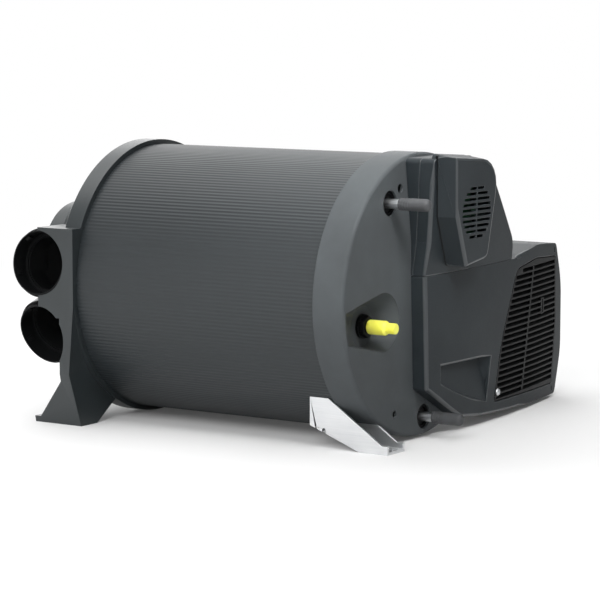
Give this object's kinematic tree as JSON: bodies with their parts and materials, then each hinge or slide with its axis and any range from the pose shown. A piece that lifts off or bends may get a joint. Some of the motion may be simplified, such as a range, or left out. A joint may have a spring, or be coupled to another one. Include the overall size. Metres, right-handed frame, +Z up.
{
  "type": "caravan warm-air and water heater",
  "caption": "Lying-drum gas heater for a caravan that warms air and water, with duct outlets, water and gas connections, a fan box with a grille and floor feet.",
  "frame": {"origin": "middle of the object's box, on the floor plane", "axes": "+X along the drum towards the connection end, +Y across towards the fan box (away from the pictured front), +Z up"},
  "size_m": [0.4767, 0.5002, 0.2985],
  "materials": {
    "cover_plastic": "fine-grained moulded anthracite plastic",
    "end_cap_plastic": "moulded anthracite plastic, slightly lighter",
    "black_plastic": "moulded black plastic",
    "jacket_paint": "thin corrugated aluminium sheet, anthracite coating with a low sheen",
    "insulation_foam": "moulded particle foam",
    "dark_rubber": "soft dark rubber",
    "yellow_plastic": "soft yellow polyethylene",
    "electrode_ceramic": "glazed ceramic with steel pins",
    "brass": "turned brass",
    "aluminium": "bright mill-finish aluminium",
    "board_laminate": "green solder mask",
    "motor_paint": "grey coated steel",
    "fan_plastic": "moulded black plastic",
    "steel": "stainless steel, drawn"
  },
  "bodies": {
    "heater": {"outlet_housing": "cover_plastic", "outlet_collar_front_upper": "black_plastic", "outlet_collar_front_lower": "black_plastic", "outlet_collar_rear_upper": "black_plastic", "outlet_collar_rear_lower": "black_plastic", "drum_jacket": "jacket_paint", "insulation_shell": "insulation_foam", "water_tank": "steel", "heat_exchanger": "aluminium", "burner_tube": "steel", "burner_flange": "steel", "ignition_electrodes": "electrode_ceramic", "flue_air_spigot": "black_plastic", "flue_exhaust_spigot": "steel", "connection_end_cap": "end_cap_plastic", "hot_water_pipe": "steel", "cold_water_pipe": "steel", "hot_pipe_grommet": "dark_rubber", "cold_pipe_grommet": "dark_rubber", "gas_inlet_pipe": "steel", "gas_union_nut": "black_plastic", "gas_valve_block": "aluminium", "gas_feed_pipe": "steel", "water_temperature_sensor": "brass", "overheat_thermostat": "black_plastic", "cover_base": "cover_plastic", "electronics_cover": "cover_plastic", "control_board": "board_laminate", "board_standoffs": "brass", "fan_housing": "cover_plastic", "fan_box_rear": "cover_plastic", "intake_grille": "black_plastic", "circulation_fan_motor": "motor_paint", "circulation_fan_bracket": "steel", "combustion_fan_housing": "aluminium", "combustion_fan_motor": "motor_paint", "foot_front": "aluminium", "foot_screws": "steel", "box_screws": "steel", "grille_screw": "steel"},
    "circulation_fan": {"circulation_fan_wheel": "fan_plastic"},
    "combustion_fan": {"combustion_fan_wheel": "aluminium"},
    "gas_cap": {"gas_cap": "yellow_plastic"},
    "hot_cap": {"hot_pipe_cap": "dark_rubber"},
    "cold_cap": {"cold_pipe_cap": "dark_rubber"},
    "valve_plunger": {"gas_valve_plunger": "steel"}
  },
  "joints": [
    {"name": "circulation_fan_spin", "type": "hinge", "parent": "heater", "child": "circulation_fan", "pos_m": [0.13212, 0.14965, 0.0895], "axis": [1, 0, 0], "continuous": true},
    {"name": "combustion_fan_spin", "type": "hinge", "parent": "heater", "child": "combustion_fan", "pos_m": [0.07762, -0.09835, 0.1495], "axis": [1, 0, 0], "continuous": true},
    {"name": "gas_cap_pull", "type": "slide", "parent": "heater", "child": "gas_cap", "axis": [1, 0, 0], "range_m": [0, 0.06]},
    {"name": "hot_cap_pull", "type": "slide", "parent": "heater", "child": "hot_cap", "axis": [1, 0, 0], "range_m": [0, 0.06]},
    {"name": "cold_cap_pull", "type": "slide", "parent": "heater", "child": "cold_cap", "axis": [1, 0, 0], "range_m": [0, 0.06]},
    {"name": "valve_stroke", "type": "slide", "parent": "heater", "child": "valve_plunger", "axis": [0, 0, 1], "range_m": [0, 0.002], "stiffness_N_per_m": 300, "springref_m": -0.002}
  ]
}
